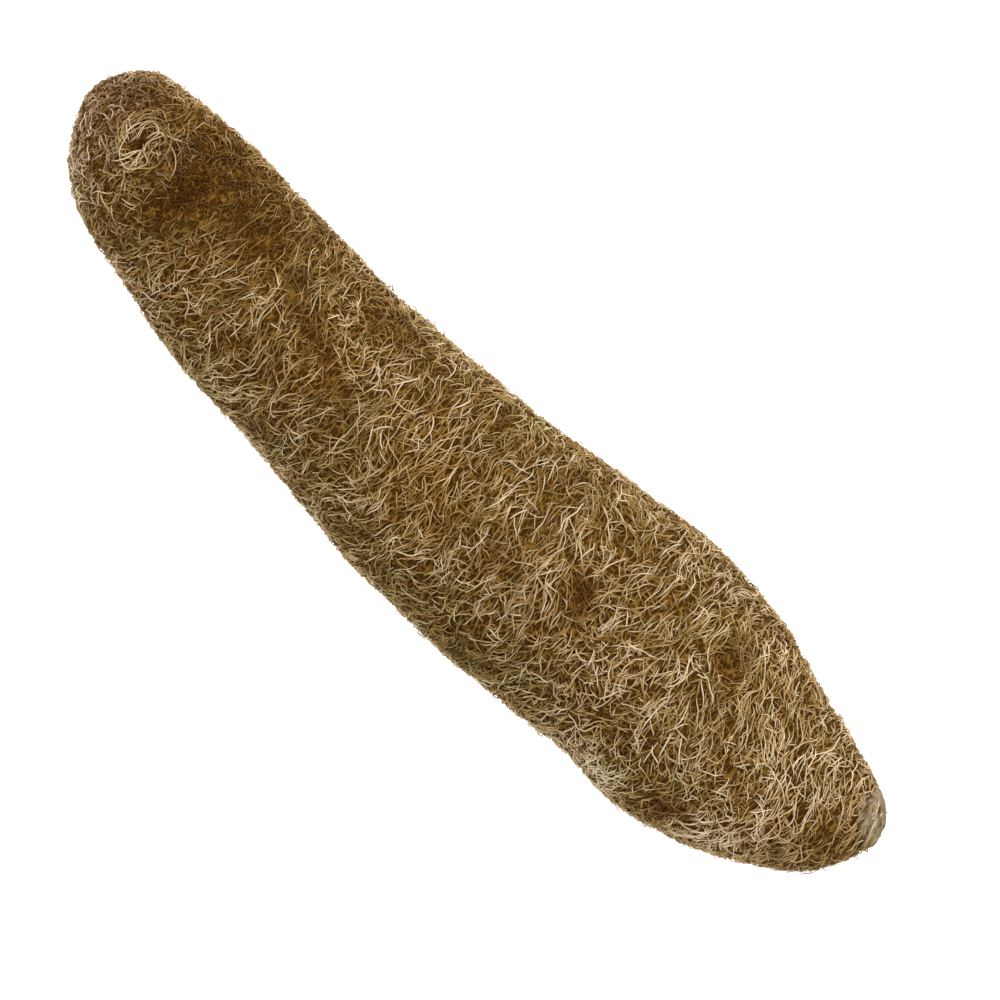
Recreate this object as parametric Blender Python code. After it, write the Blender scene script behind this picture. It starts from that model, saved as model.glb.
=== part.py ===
"""Natural loofah sponge: the whole dried fibre skeleton of one luffa gourd, lying on its side.

One solid. Its long axis runs along X, from the stem end at -X to the blossom end at +X. Z is up, and
the sponge rests on a small flat spot in the plane z = 0. Sizes are in metres and angles in degrees.
"""

import math
import random

import bmesh
import bpy
from mathutils import Matrix, Vector, noise

# Driving dimensions: stations from the stem end to the blossom end, each with its place along X, its
# half width there, and how far its centre lies off the X axis, towards Y.
STATIONS = (
    (-0.1700, 0.0000, 0.0105),
    (-0.1615, 0.0178, 0.0084),
    (-0.1445, 0.0259, 0.0052),
    (-0.1190, 0.0293, 0.0021),
    (-0.0850, 0.0324, -0.0012),
    (-0.0450, 0.0330, -0.0030),
    (-0.0100, 0.0370, -0.0040),
    (0.0340, 0.0395, -0.0017),
    (0.0750, 0.0403, 0.0024),
    (0.1020, 0.0388, 0.0009),
    (0.1250, 0.0328, 0.0002),
    (0.1445, 0.0260, 0.0024),
    (0.1615, 0.0161, 0.0062),
    (0.1700, 0.0000, 0.0095),
)
HEIGHT_TO_WIDTH = 0.98

# The belly lies on the table about the point below the sponge's weight, and both ends lift off it.
REST_X = 0.015
REST_SINK = 0.0030
END_LIFT = 0.014
END_REACH = 0.170
TIP_RISE = 0.8

# Three seed channels inside round the outside into three faint lobes.
LOBES = 3
LOBE_HEIGHT = 0.0007
LOBE_TURN = 25.0
SWELL_HEIGHT = 0.0011
SWELL_SIZE = 0.045

# Hollows and swellings: place along X, place round the girth (0 at +Y, 90 on top), half length, half
# width, turn of the length away from X, and depth, which is negative for a swelling.
HOLLOWS = (
    (-0.1250, 64.0, 0.0260, 0.0130, 0.0, 0.0040),
    (-0.0630, 80.0, 0.0240, 0.0060, -24.0, 0.0036),
    (0.0485, 86.0, 0.0080, 0.0042, -46.0, 0.0032),
    (0.0972, 63.0, 0.0055, 0.0050, 0.0, 0.0032),
    (0.1132, 141.0, 0.0085, 0.0045, 40.0, 0.0036),
    (0.0589, 140.0, 0.0120, 0.0075, 20.0, 0.0020),
    (-0.0200, 205.0, 0.0260, 0.0070, 12.0, 0.0030),
    (0.0900, 235.0, 0.0075, 0.0055, 30.0, 0.0032),
    (-0.1000, 300.0, 0.0300, 0.0075, -10.0, 0.0032),
    (0.0700, 330.0, 0.0090, 0.0055, -35.0, 0.0030),
    (-0.1490, 86.0, 0.0095, 0.0095, 0.0, -0.0026),
    (-0.1490, 86.0, 0.0038, 0.0030, 40.0, 0.0052),
)

# The raised net: even rows of points are strands that run round the girth, and odd rows are the valleys
# between them. At its links a valley closes and its two strands meet, which leaves long lozenge cells.
COLUMNS = 44
ROWS = 132
VALLEY_DEPTH = 0.0027
VALLEY_SPREAD = 0.0005
STRAND_SPREAD = 0.0005
LINK_STEPS = (3, 4, 5)
LINK_DEPTH = 0.0003
LINK_PULL = 0.42
LINK_SHADE = 0.65
BROKEN_SHARE = 0.05
BROKEN_DEPTH = 0.0012
WANDER_HEIGHT = 0.0075
WANDER_SIZE = 0.038
JITTER_ALONG = 0.0005
JITTER_ROUND = 0.22
CALM_END = 0.05
SEED = 7

FIBRE_COLOUR = (0.30, 0.19, 0.085, 1.0)
FIBRE_ROUGHNESS = 0.85
CURVE_STEPS = 12
SHARP_ANGLE = 40.0


def clear_scene():
    for old in list(bpy.data.objects):
        bpy.data.objects.remove(old, do_unlink=True)


def fibre_material():
    material = bpy.data.materials.new("loofah_fibre")
    material.use_nodes = True
    shader = material.node_tree.nodes["Principled BSDF"]
    shader.inputs["Base Color"].default_value = FIBRE_COLOUR
    shader.inputs["Roughness"].default_value = FIBRE_ROUGHNESS
    shader.inputs["Metallic"].default_value = 0.0
    return material


def spline_point(before, start, end, after, share):
    """A point of the smooth curve through four stations, at this share of the way from start to end."""
    chords = [max((b - a).length ** 0.5, 1e-6) for a, b in ((before, start), (start, end), (end, after))]
    leave = ((start - before) / chords[0] - (end - before) / (chords[0] + chords[1]) + (end - start) / chords[1])
    arrive = ((end - start) / chords[1] - (after - start) / (chords[1] + chords[2]) + (after - end) / chords[2])
    leave *= chords[1]
    arrive *= chords[1]
    square = share * share
    cube = square * share
    return (
        start * (2 * cube - 3 * square + 1)
        + leave * (cube - 2 * square + share)
        + end * (3 * square - 2 * cube)
        + arrive * (cube - square)
    )


def outline():
    """The profile as close points (x, half width, centre y) from pole to pole.

    Beyond each pole a station is repeated on the other side, so that the profile meets it squarely.
    """
    stations = [Vector(station) for station in STATIONS]
    turned = Vector((1.0, -1.0, 1.0))
    stations = [stations[1] * turned, *stations, stations[-2] * turned]
    points = []
    for index in range(1, len(stations) - 2):
        for step in range(CURVE_STEPS):
            points.append(spline_point(*stations[index - 1 : index + 3], step / CURVE_STEPS))
    points.append(stations[-2])
    return points


def distances(points):
    """How far along the profile each of its points lies, seen from the side."""
    found = [0.0]
    for before, after in zip(points, points[1:]):
        found.append(found[-1] + (after.xy - before.xy).length)
    return found


def profile_at(points, along, distance):
    """The profile at this distance from the stem pole."""
    distance = min(max(distance, 0.0), along[-1])
    index = next((i for i in range(1, len(along) - 1) if along[i] >= distance), len(along) - 1)
    share = (distance - along[index - 1]) / (along[index] - along[index - 1])
    return points[index - 1].lerp(points[index], share)


def body_point(station, angle):
    """The smooth body's surface at a station of the profile and an angle round the girth, in radians."""
    x, half_width, centre_y = station
    half_height = half_width * HEIGHT_TO_WIDTH
    belly = max(s[1] for s in STATIONS) * HEIGHT_TO_WIDTH
    belly_line = END_LIFT * ((x - REST_X) / END_REACH) ** 2 - REST_SINK
    slenderness = 1.0 - half_height / belly
    centre_z = belly_line + half_height + (belly - half_height) * slenderness * TIP_RISE
    return Vector((x, centre_y + half_width * math.cos(angle), centre_z + half_height * math.sin(angle)))


def hollow_depth(point, angle, half_width):
    """How deep the hollows lie under the smooth body here; swellings count as less than nothing."""
    depth = 0.0
    for x, round_place, half_length, half_across, turn, deepest in HOLLOWS:
        off_angle = (angle - math.radians(round_place) + math.pi) % (2 * math.pi) - math.pi
        along = point.x - x
        across = -off_angle * half_width
        cosine, sine = math.cos(math.radians(turn)), math.sin(math.radians(turn))
        down = along * cosine + across * sine
        over = across * cosine - along * sine
        depth += deepest * math.exp(-((down / half_length) ** 2) - (over / half_across) ** 2)
    return depth


def link_columns(draw):
    """The columns at which a valley is closed, at uneven steps round the girth."""
    column = draw.randrange(COLUMNS)
    last = column + COLUMNS - LINK_STEPS[0]
    columns = set()
    while column <= last:
        columns.add(column % COLUMNS)
        column += draw.choice(LINK_STEPS)
    return columns


def links_beside(links, row, column):
    """How many links of this valley lie beside a point of the strand next to it."""
    return sum((column - step) % COLUMNS in links[row] for step in (0, 1))


def net_height(links, row, column, draw):
    """How far a point of the net lies above the smooth body."""
    if row % 2 == 0:
        broken = draw.random() < BROKEN_SHARE
        return -draw.uniform(0.0, STRAND_SPREAD) - (BROKEN_DEPTH if broken else 0.0)
    if column in links[row]:
        return -LINK_DEPTH
    near_link = {(column - 1) % COLUMNS, (column + 1) % COLUMNS} & links[row]
    depth = VALLEY_DEPTH + draw.uniform(-VALLEY_SPREAD, VALLEY_SPREAD)
    return -depth * (LINK_SHADE if near_link else 1.0)


def shape_sponge(mesh):
    """Bends a round ball of rows and columns into the body, then raises the net from its surface."""
    points = outline()
    along = distances(points)
    draw = random.Random(SEED)
    links = [link_columns(draw) if row % 2 else set() for row in range(ROWS + 2)]
    places = {}
    for vertex in mesh.verts:
        turn = math.acos(max(-1.0, min(1.0, -vertex.co.z)))
        row = round(turn / math.pi * ROWS)
        angle = math.atan2(vertex.co.y, vertex.co.x)
        column = round(angle / (2 * math.pi) * COLUMNS) % COLUMNS
        angle += 2 * math.pi / COLUMNS * (0.5 * (row % 2) + draw.uniform(-JITTER_ROUND, JITTER_ROUND))
        calm = min(1.0, row / ROWS / CALM_END, (ROWS - row) / ROWS / CALM_END)
        pull = 0.0
        if row % 2 == 0:
            pull = links_beside(links, row + 1, column) - links_beside(links, row - 1, column)
        distance = along[-1] * (row + calm * LINK_PULL * pull) / ROWS
        smooth = body_point(profile_at(points, along, distance), angle)
        wander = WANDER_HEIGHT * noise.noise(smooth / WANDER_SIZE)
        distance += calm * (wander + draw.uniform(-JITTER_ALONG, JITTER_ALONG))
        station = profile_at(points, along, distance)
        vertex.co = body_point(station, angle)
        lobes = 0.0 if row in (0, ROWS) else LOBE_HEIGHT * math.cos(LOBES * angle + math.radians(LOBE_TURN))
        swell = SWELL_HEIGHT * noise.noise(vertex.co / SWELL_SIZE)
        hollow = hollow_depth(vertex.co, angle, station[1])
        places[vertex] = net_height(links, row, column, draw) + calm * (lobes + swell) - hollow
    mesh.normal_update()
    for vertex, height in places.items():
        vertex.co += vertex.normal * height


def press_flat(mesh):
    """Presses what would lie under the table into the plane z = 0, as the flat spot it rests on."""
    for vertex in mesh.verts:
        vertex.co.z = max(vertex.co.z, 0.0)


def centre_over_origin(mesh):
    """Moves the sponge so that the middle of its outline lies over the origin."""
    xs = [vertex.co.x for vertex in mesh.verts]
    ys = [vertex.co.y for vertex in mesh.verts]
    middle = Vector(((min(xs) + max(xs)) / 2, (min(ys) + max(ys)) / 2, 0.0))
    bmesh.ops.transform(mesh, matrix=Matrix.Translation(-middle), verts=mesh.verts)


def build_sponge(collection):
    mesh = bmesh.new()
    bmesh.ops.create_uvsphere(mesh, u_segments=COLUMNS, v_segments=ROWS, radius=1.0)
    shape_sponge(mesh)
    press_flat(mesh)
    centre_over_origin(mesh)
    bmesh.ops.triangulate(mesh, faces=mesh.faces, quad_method="SHORT_EDGE")
    data = bpy.data.meshes.new("loofah")
    mesh.to_mesh(data)
    mesh.free()
    data.shade_smooth()
    data.set_sharp_from_angle(angle=math.radians(SHARP_ANGLE))
    data.materials.append(fibre_material())
    sponge = bpy.data.objects.new("loofah", data)
    collection.objects.link(sponge)
    return sponge


def main():
    clear_scene()
    collection = bpy.data.collections.new("natural_loofah_sponge")
    bpy.context.scene.collection.children.link(collection)
    build_sponge(collection)


main()
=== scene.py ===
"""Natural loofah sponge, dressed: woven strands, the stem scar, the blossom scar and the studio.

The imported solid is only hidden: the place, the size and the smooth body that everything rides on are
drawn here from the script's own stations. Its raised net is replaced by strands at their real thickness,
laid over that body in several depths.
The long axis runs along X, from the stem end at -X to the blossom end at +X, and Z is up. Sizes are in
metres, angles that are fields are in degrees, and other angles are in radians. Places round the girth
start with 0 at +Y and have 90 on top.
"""

import logging
import math
from collections.abc import Callable, Mapping
from dataclasses import dataclass, field
from enum import Enum

import bpy
import numpy as np
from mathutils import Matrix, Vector
from mathutils.bvhtree import BVHTree


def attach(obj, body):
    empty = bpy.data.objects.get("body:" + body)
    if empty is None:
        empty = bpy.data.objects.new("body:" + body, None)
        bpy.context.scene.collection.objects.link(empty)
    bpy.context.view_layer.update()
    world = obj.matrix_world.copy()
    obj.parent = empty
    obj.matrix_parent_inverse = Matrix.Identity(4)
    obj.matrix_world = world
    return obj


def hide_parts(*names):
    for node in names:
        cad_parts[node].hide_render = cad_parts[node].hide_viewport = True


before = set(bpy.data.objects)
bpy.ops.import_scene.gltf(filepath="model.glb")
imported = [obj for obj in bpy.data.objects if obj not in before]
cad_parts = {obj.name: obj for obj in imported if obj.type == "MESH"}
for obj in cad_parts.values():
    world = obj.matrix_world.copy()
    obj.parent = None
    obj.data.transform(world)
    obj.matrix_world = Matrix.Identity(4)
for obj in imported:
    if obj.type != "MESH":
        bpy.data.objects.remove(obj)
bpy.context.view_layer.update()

LOG = logging.getLogger("loofah")
NODE = "loofah"
BODY = "root"
BAKE_MAP = "OFBake"
FULL_TURN = 2.0 * math.pi
TINY = 1e-9
WHITE = (1.0, 1.0, 1.0, 1.0)

Colour = tuple[float, float, float, float]
Span = tuple[float, float]


class Hue(Enum):
    """The tints of dry loofah fibre, each by its place along every colour ramp."""

    MAUVE = 0.0
    OLIVE = 0.22
    STRAW = 0.45
    AMBER = 0.68
    RUSSET = 1.0


class Lay(Enum):
    """How a strand lies in the net."""

    WOVEN = "both ends dip under other strands"
    LOOSE = "it stands off the surface as a small loop or a loose end"


def screen_colour(red: int, green: int, blue: int) -> Colour:
    """Turns a colour as a screen shows it into Blender's linear colour.

    Args:
        red: Red, 0 to 255.
        green: Green, 0 to 255.
        blue: Blue, 0 to 255.

    Returns:
        The colour as linear red, green, blue and alpha.
    """
    shares = (value / 255.0 for value in (red, green, blue))
    linear = [share / 12.92 if share <= 0.04045 else ((share + 0.055) / 1.055) ** 2.4 for share in shares]
    return (*linear, 1.0)


def unit(vectors: np.ndarray) -> np.ndarray:
    """Gives each vector of the last axis a length of one."""
    return vectors / np.maximum(np.linalg.norm(vectors, axis=-1, keepdims=True), TINY)


def gather(mesh: bpy.types.Mesh, name: str) -> np.ndarray:
    """Reads a vector of every vertex of a mesh.

    Args:
        mesh: The mesh.
        name: The vector's name, such as co or normal.

    Returns:
        One row a vertex.
    """
    found = np.empty(len(mesh.vertices) * 3, np.float32)
    mesh.vertices.foreach_get(name, found)
    return found.reshape(-1, 3).astype(float)


def move(mesh: bpy.types.Mesh, points: np.ndarray) -> None:
    """Moves every vertex of a mesh to a point of its own, one row each."""
    mesh.vertices.foreach_set("co", points.astype(np.float32).ravel())
    mesh.update()


def plain_mesh(name: str, add: Callable[..., set[str]], **sizes: float) -> bpy.types.Object:
    """Adds one of Blender's plain meshes.

    Args:
        name: The object's name.
        add: The operator that adds it.
        sizes: What that operator is told.

    Returns:
        The object.
    """
    bpy.ops.object.select_all(action="DESELECT")
    add(**sizes)
    made = bpy.context.object
    made.name = made.data.name = name
    return made


class Nodes:
    """The shader nodes of a material or of the world, added and linked one by one."""

    def __init__(self, owner: bpy.types.ID, end: str = "Principled BSDF") -> None:
        """Starts from the node that all others lead to.

        Args:
            owner: The material or the world.
            end: That node's name.
        """
        owner.use_nodes = True
        self.tree = owner.node_tree
        self.end = self.tree.nodes[end]

    def put(self, node: bpy.types.Node, inputs: Mapping[str | int, object]) -> None:
        """Fills a node's inputs: links what another node gives, and sets any other value.

        Args:
            node: The node.
            inputs: What each input gets, by its name or number.
        """
        for name, value in inputs.items():
            if isinstance(value, bpy.types.NodeSocket):
                self.tree.links.new(value, node.inputs[name])
            else:
                node.inputs[name].default_value = value

    def add(
        self, kind: str, output: str | int, inputs: Mapping[str | int, object] | None = None, **options: str
    ) -> bpy.types.NodeSocket:
        """Adds a node.

        Args:
            kind: Its type.
            output: The output that is used.
            inputs: What its inputs get.
            options: Its settings.

        Returns:
            That output.
        """
        node = self.tree.nodes.new("ShaderNode" + kind)
        for name, value in options.items():
            setattr(node, name, value)
        self.put(node, inputs or {})
        return node.outputs[output]

    def mix(self, share: bpy.types.NodeSocket, none: object, full: object) -> bpy.types.NodeSocket:
        """Mixes two colours, from the one at a share of 0 to the one at 1."""
        return self.add("Mix", 2, {"Factor": share, 6: none, 7: full}, data_type="RGBA")

    def bump(self, height: bpy.types.NodeSocket, depth: float) -> bpy.types.NodeSocket:
        """Turns a height from 0 to 1 into a bump of a depth."""
        return self.add("Bump", "Normal", {"Distance": depth, "Height": height})


@dataclass(frozen=True)
class SmoothNoise:
    """A smooth random field over space: waves in random directions, with a spread of about one.

    Attributes:
        size: The usual length of a wave.
        seed: The seed of its draws.
        waves: How many waves it sums.
    """

    size: float
    seed: int
    waves: int = 16

    def at(self, points: np.ndarray) -> np.ndarray:
        """Reads the field.

        Args:
            points: Points, on the last axis.

        Returns:
            One value a point.
        """
        draw = np.random.default_rng(self.seed)
        lengths = self.size * draw.uniform(0.7, 1.7, self.waves)
        turns = unit(draw.normal(size=(self.waves, 3))) * (FULL_TURN / lengths)[:, None]
        phases = draw.uniform(0.0, FULL_TURN, self.waves)
        return np.sin(points @ turns.T + phases).sum(axis=-1) * math.sqrt(2.0 / self.waves)


@dataclass(frozen=True)
class Patch:
    """A soft oval on the body, by its place along X and round the girth.

    Attributes:
        half_length: Half its length, along its own direction.
        half_width: Half its width.
        turn: How far its length turns from X towards +Y, seen from above.
    """

    x: float
    girth: float
    half_length: float
    half_width: float
    turn: float = field(default=0.0, kw_only=True)

    def share(self, x: np.ndarray, angle: np.ndarray, half_width: np.ndarray) -> np.ndarray:
        """Says how far points lie inside the oval.

        Args:
            x: The points' places along X.
            angle: Their angles round the girth.
            half_width: The body's half width there.

        Returns:
            1 in the middle of the oval, falling softly to 0 outside it.
        """
        off_angle = (angle - math.radians(self.girth) + math.pi) % FULL_TURN - math.pi
        along, across = x - self.x, -off_angle * half_width
        cosine, sine = math.cos(math.radians(self.turn)), math.sin(math.radians(self.turn))
        down, over = along * cosine + across * sine, across * cosine - along * sine
        return np.exp(-((down / self.half_length) ** 2) - (over / self.half_width) ** 2)


@dataclass(frozen=True)
class Hollow(Patch):
    """A hollow in the body, or a swelling where its depth is less than nothing."""

    depth: float = 0.003


@dataclass(frozen=True)
class Drift(Patch):
    """A patch where the strands lean another way, by an angle from the girth towards +X."""

    lean: float = 0.0


@dataclass(frozen=True)
class StainAndPaintedShade(Patch):
    """A patch of strands of another colour, lighter or darker; on hollows and shaded sides its darkening is
    painted shade.

    Attributes:
        hue: The tint it turns them towards.
        strength: How far, from 0 to 1.
        shade: How much lighter it makes them, or darker where it is less than nothing; much of it is painted
            shade, and some painted light.
    """

    hue: Hue = Hue.STRAW
    strength: float = 0.5
    shade: float = 0.0


@dataclass
class SpongeBody:
    """The smooth form of the sponge: an outline turned round its axis, bent, lobed and hollowed.

    Attributes:
        stations: Places along X, the half width at each and how far its centre lies towards +Y.
        hollows: The hollows and swellings of the surface.
        relief_growth: How fast the relief grows from each tip, against the body's width.
    """

    stations: tuple[tuple[float, float, float], ...] = (
        (-0.17, 0, 0.01), (-0.1615, 0.0174, 0.008), (-0.1445, 0.026, 0.0038), (-0.119, 0.0297, 0.0017),
        (-0.085, 0.0327, -0.0024), (-0.045, 0.034, -0.004), (-0.01, 0.0372, -0.0043),
        (0.034, 0.0398, -0.0021), (0.075, 0.0398, 0.0017), (0.102, 0.0392, -0.0004),
        (0.125, 0.0331, -0.0013), (0.1445, 0.0264, 0.0008), (0.1615, 0.017, 0.005), (0.17, 0, 0.009),
    )
    hollows: tuple[Hollow, ...] = (
        Hollow(-0.1262, 91, 0.0068, 0.015, 0.0036),
        Hollow(-0.118, 66, 0.024, 0.015, 0.0022),
        Hollow(-0.063, 80, 0.024, 0.006, 0.0036, turn=-24),
        Hollow(0.0488, 86, 0.0095, 0.0042, 0.0042, turn=-46),
        Hollow(0.059, 86, 0.007, 0.007, -0.0009),
        Hollow(0.0955, 62, 0.0055, 0.005, 0.0034),
        Hollow(0.1132, 141, 0.0085, 0.0045, 0.0036, turn=40),
        Hollow(0.0589, 140, 0.012, 0.0075, 0.002, turn=20),
        Hollow(-0.02, 205, 0.026, 0.007, 0.003, turn=12),
        Hollow(0.09, 235, 0.0075, 0.0055, 0.0032, turn=30),
        Hollow(-0.1, 300, 0.03, 0.0075, 0.0032, turn=-10),
        Hollow(0.07, 330, 0.009, 0.0055, 0.003, turn=-35),
        Hollow(-0.1445, 80, 0.0105, 0.0105, -0.002),
        Hollow(-0.1445, 80, 0.0032, 0.0029, 0.004, turn=40),
    )
    height_to_width: float = 0.98
    rest_x: float = 0.015
    rest_sink: float = 0.003
    end_lift: float = 0.014
    end_reach: float = 0.17
    tip_rise: float = 0.8
    lobes: int = 3
    lobe_height: float = 0.0007
    lobe_turn: float = 25.0
    swell_height: float = 0.0004
    swell_size: float = 0.045
    curve_steps: int = 12
    relief_growth: float = 2.0
    profile: np.ndarray = field(init=False)
    along: np.ndarray = field(init=False)

    def __post_init__(self) -> None:
        """Draws the smooth outline through the stations."""
        middle = np.array(self.stations)
        turned = np.array([1.0, -1.0, 1.0])
        knots = np.vstack([middle[1] * turned, middle, middle[-2] * turned])
        spans = [self._span(knots[i - 1 : i + 3]) for i in range(1, len(knots) - 2)]
        self.profile = np.vstack([*spans, knots[-2]])
        steps = np.linalg.norm(np.diff(self.profile[:, :2], axis=0), axis=1)
        self.along = np.concatenate([[0.0], np.cumsum(steps)])

    def _span(self, knots: np.ndarray) -> np.ndarray:
        """Draws one span of the smooth curve through the stations.

        Args:
            knots: The station before the span, its two ends and the station after it.

        Returns:
            The span's points, without its end.
        """
        before, start, end, after = knots
        chords = np.maximum(np.linalg.norm(np.diff(knots, axis=0), axis=1) ** 0.5, TINY)
        leave = (start - before) / chords[0] - (end - before) / (chords[0] + chords[1])
        leave = (leave + (end - start) / chords[1]) * chords[1]
        arrive = (end - start) / chords[1] - (after - start) / (chords[1] + chords[2])
        arrive = (arrive + (after - end) / chords[2]) * chords[1]
        share = (np.arange(self.curve_steps) / self.curve_steps)[:, None]
        square, cube = share**2, share**3
        return (
            start * (2 * cube - 3 * square + 1)
            + leave * (cube - 2 * square + share)
            + end * (3 * square - 2 * cube)
            + arrive * (cube - square)
        )

    def _section(self, x: np.ndarray, half_width: np.ndarray) -> tuple[np.ndarray, np.ndarray]:
        """Gives the body's section at places along X.

        Args:
            x: The places.
            half_width: The body's half width at each.

        Returns:
            The height of its centre and its half height at each.
        """
        half_height = half_width * self.height_to_width
        belly = max(station[1] for station in self.stations) * self.height_to_width
        line = self.end_lift * ((x - self.rest_x) / self.end_reach) ** 2 - self.rest_sink
        slenderness = 1.0 - half_height / belly
        return line + half_height + (belly - half_height) * slenderness * self.tip_rise, half_height

    def points(self, distance: np.ndarray, angle: np.ndarray) -> np.ndarray:
        """Places points on the plain body, before its lobes and hollows.

        Args:
            distance: Distances along the outline from the stem pole.
            angle: Angles round the girth.

        Returns:
            One point for each pair.
        """
        x, half_width, centre_y = (np.interp(distance, self.along, column) for column in self.profile.T)
        centre_z, half_height = self._section(x, half_width)
        y = centre_y + half_width * np.cos(angle)
        return np.stack([x, y, centre_z + half_height * np.sin(angle)], axis=-1)

    def girth(self, points: np.ndarray) -> tuple[np.ndarray, np.ndarray]:
        """Finds where points lie round the girth.

        Args:
            points: Points on or near the body, on the last axis.

        Returns:
            Each point's angle round the girth and the body's half width there.
        """
        x = points[..., 0]
        half_width, centre_y = (np.interp(x, self.profile[:, 0], self.profile[:, i]) for i in (1, 2))
        centre_z, half_height = self._section(x, half_width)
        up = (points[..., 2] - centre_z) / np.maximum(half_height, TINY)
        side = (points[..., 1] - centre_y) / np.maximum(half_width, TINY)
        return np.arctan2(up, side), half_width

    def place(self, x: float, girth: float) -> np.ndarray:
        """Finds the point of the plain body at a place along X and round the girth."""
        distance = np.interp(x, self.profile[:, 0], self.along)
        return self.points(np.array([distance]), np.array([math.radians(girth)]))[0]

    def relief(self, points: np.ndarray) -> np.ndarray:
        """Says how far the lobes, swells and hollows raise the plain body.

        Args:
            points: Points of the plain body.

        Returns:
            One height a point, less than nothing in a hollow.
        """
        angle, half_width = self.girth(points)
        height = self.lobe_height * np.cos(self.lobes * angle + math.radians(self.lobe_turn))
        height += self.swell_height * SmoothNoise(self.swell_size, seed=3).at(points)
        widest = max(station[1] for station in self.stations)
        height *= np.minimum(1.0, half_width / widest * self.relief_growth)
        for hollow in self.hollows:
            height -= hollow.depth * hollow.share(points[:, 0], angle, half_width)
        return height

    def form(self, name: str, segments: int, rings: int, sink: float) -> bpy.types.Object:
        """Makes the body as a mesh, from a round ball whose poles become its two ends.

        Args:
            name: The object's name.
            segments: Its faces round the girth.
            rings: Its faces from end to end.
            sink: How far it lies inside the sponge's outer surface.

        Returns:
            The object.
        """
        sphere = bpy.ops.mesh.primitive_uv_sphere_add
        ball = plain_mesh(name, sphere, segments=segments, ring_count=rings, radius=1.0)
        round_points = gather(ball.data, "co")
        turn = np.arccos(np.clip(-round_points[:, 2], -1.0, 1.0))
        angle = np.arctan2(round_points[:, 1], round_points[:, 0])
        places = self.points(self.along[-1] * turn / math.pi, angle)
        heights = self.relief(places) - sink
        move(ball.data, places)
        move(ball.data, places + gather(ball.data, "normal") * heights[:, None])
        return ball


class Skin:
    """The sponge's outer surface, on which strands are laid."""

    def __init__(self, form: bpy.types.Object) -> None:
        """Reads the surface.

        Args:
            form: The body's mesh, which this removes.
        """
        form.data.calc_loop_triangles()
        self.points = gather(form.data, "co")
        corners = np.empty(len(form.data.loop_triangles) * 3, np.int32)
        form.data.loop_triangles.foreach_get("vertices", corners)
        self.faces = corners.reshape(-1, 3)
        self.smooth = gather(form.data, "normal")
        self.tree = BVHTree.FromPolygons(self.points.tolist(), self.faces.tolist())
        bpy.data.objects.remove(form, do_unlink=True)

    def nearest(self, points: np.ndarray) -> tuple[np.ndarray, np.ndarray]:
        """Moves points onto the surface.

        Args:
            points: One row a point.

        Returns:
            The nearest points of the surface and the smooth normals there.
        """
        found = [self.tree.find_nearest(point) for point in points.tolist()]
        places = np.array([hit[0][:] for hit in found])
        faces = self.faces[[hit[2] for hit in found]]
        gaps = np.linalg.norm(self.points[faces] - places[:, None, :], axis=2)
        weights = 1.0 / np.maximum(gaps, TINY)
        return places, unit((self.smooth[faces] * weights[:, :, None]).sum(axis=1))

    def scatter(self, count: int, crowd: np.ndarray, draw: np.random.Generator) -> np.ndarray:
        """Draws points over the surface, face by face.

        Blender doesn't always list the faces in the same order, so the same draws can give other points.

        Args:
            count: How many.
            crowd: How thickly they lie on each face, against the others.
            draw: The random draws.

        Returns:
            One row a point.
        """
        corners = self.points[self.faces]
        sides = np.cross(corners[:, 1] - corners[:, 0], corners[:, 2] - corners[:, 0])
        covered = np.cumsum(np.linalg.norm(sides, axis=1) * crowd)
        levels = (np.arange(count) + draw.random(count)) / count * covered[-1]
        chosen = corners[np.minimum(np.searchsorted(covered, levels), len(corners) - 1)]
        first, second = draw.random((2, count))
        root = np.sqrt(first)
        weights = np.stack([1.0 - root, root * (1.0 - second), root * second], axis=1)
        return (chosen * weights[:, :, None]).sum(axis=1)


@dataclass(frozen=True)
class Whorl:
    """A place that the strands run round, out to a radius, as strongly as from 0 to 1."""

    x: float
    girth: float
    radius: float
    strength: float


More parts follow.
